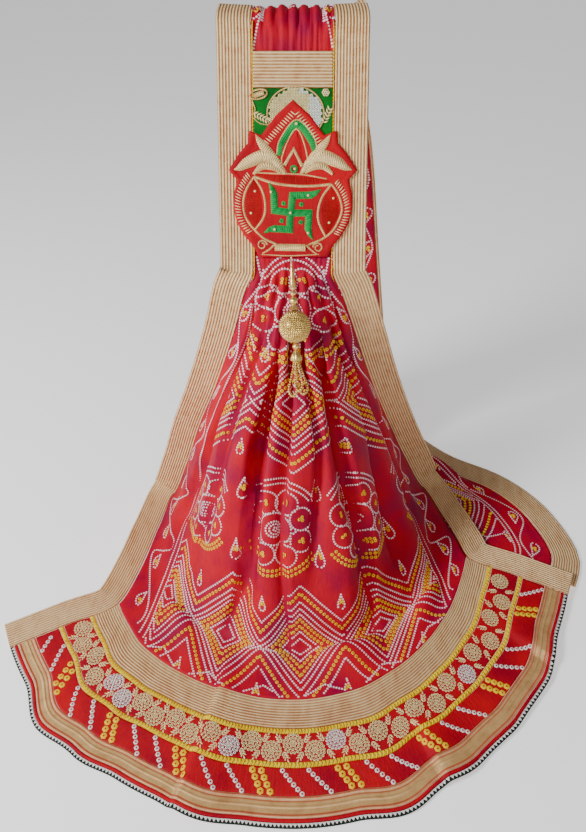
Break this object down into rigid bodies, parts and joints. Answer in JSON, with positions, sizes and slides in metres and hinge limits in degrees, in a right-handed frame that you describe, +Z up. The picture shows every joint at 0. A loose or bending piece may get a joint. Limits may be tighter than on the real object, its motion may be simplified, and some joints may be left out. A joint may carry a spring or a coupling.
{
  "type": "embroidered dupatta",
  "caption": "Long draped dupatta of tie-dyed cloth with corded lace edges, a layered embroidered border, a pot-shaped patch and a beaded tassel drop.",
  "frame": {"origin": "middle of the bounding box, at the floor that the fan and the tail lie on", "axes": "+Z up; -Y towards the viewer, where the embroidered fan opens; +X to the viewer's right, where the tail turns forward"},
  "size_m": [0.8364, 0.6956, 0.6975],
  "materials": {
    "field_cloth": "crinkled georgette with tie-dyed dots",
    "red_ground": "matt woven cloth",
    "corded_lace": "corded zari lace, soft metallic",
    "zari_lace": "woven zari lace, soft metallic",
    "yellow_trim": "looped yellow braid",
    "white_picot": "white picot on a dark edging",
    "green_brocade": "green brocade with gold sprays",
    "antique_beads": "antique gold beads and bullion"
  },
  "bodies": {
    "root": {"field_cloth": "field_cloth", "picot_edge": "white_picot", "piping": "red_ground", "zari_lace": "zari_lace", "border_ground": "red_ground", "outer_trim": "yellow_trim", "embroidered_band": "red_ground", "inner_trim": "yellow_trim", "hem_lace": "corded_lace", "lace_left": "corded_lace", "lace_right": "corded_lace", "green_panel": "green_brocade", "cross_lace": "corded_lace", "kalash_patch": "red_ground", "latkan_thread": "antique_beads", "latkan_cone_bead": "antique_beads", "latkan_small_bead": "antique_beads", "latkan_round_bead": "antique_beads", "latkan_top_cap": "antique_beads", "latkan_ball": "antique_beads", "latkan_lower_bead": "antique_beads", "latkan_bell_cap": "antique_beads", "latkan_tassel": "antique_beads"}
  },
  "joints": []
}
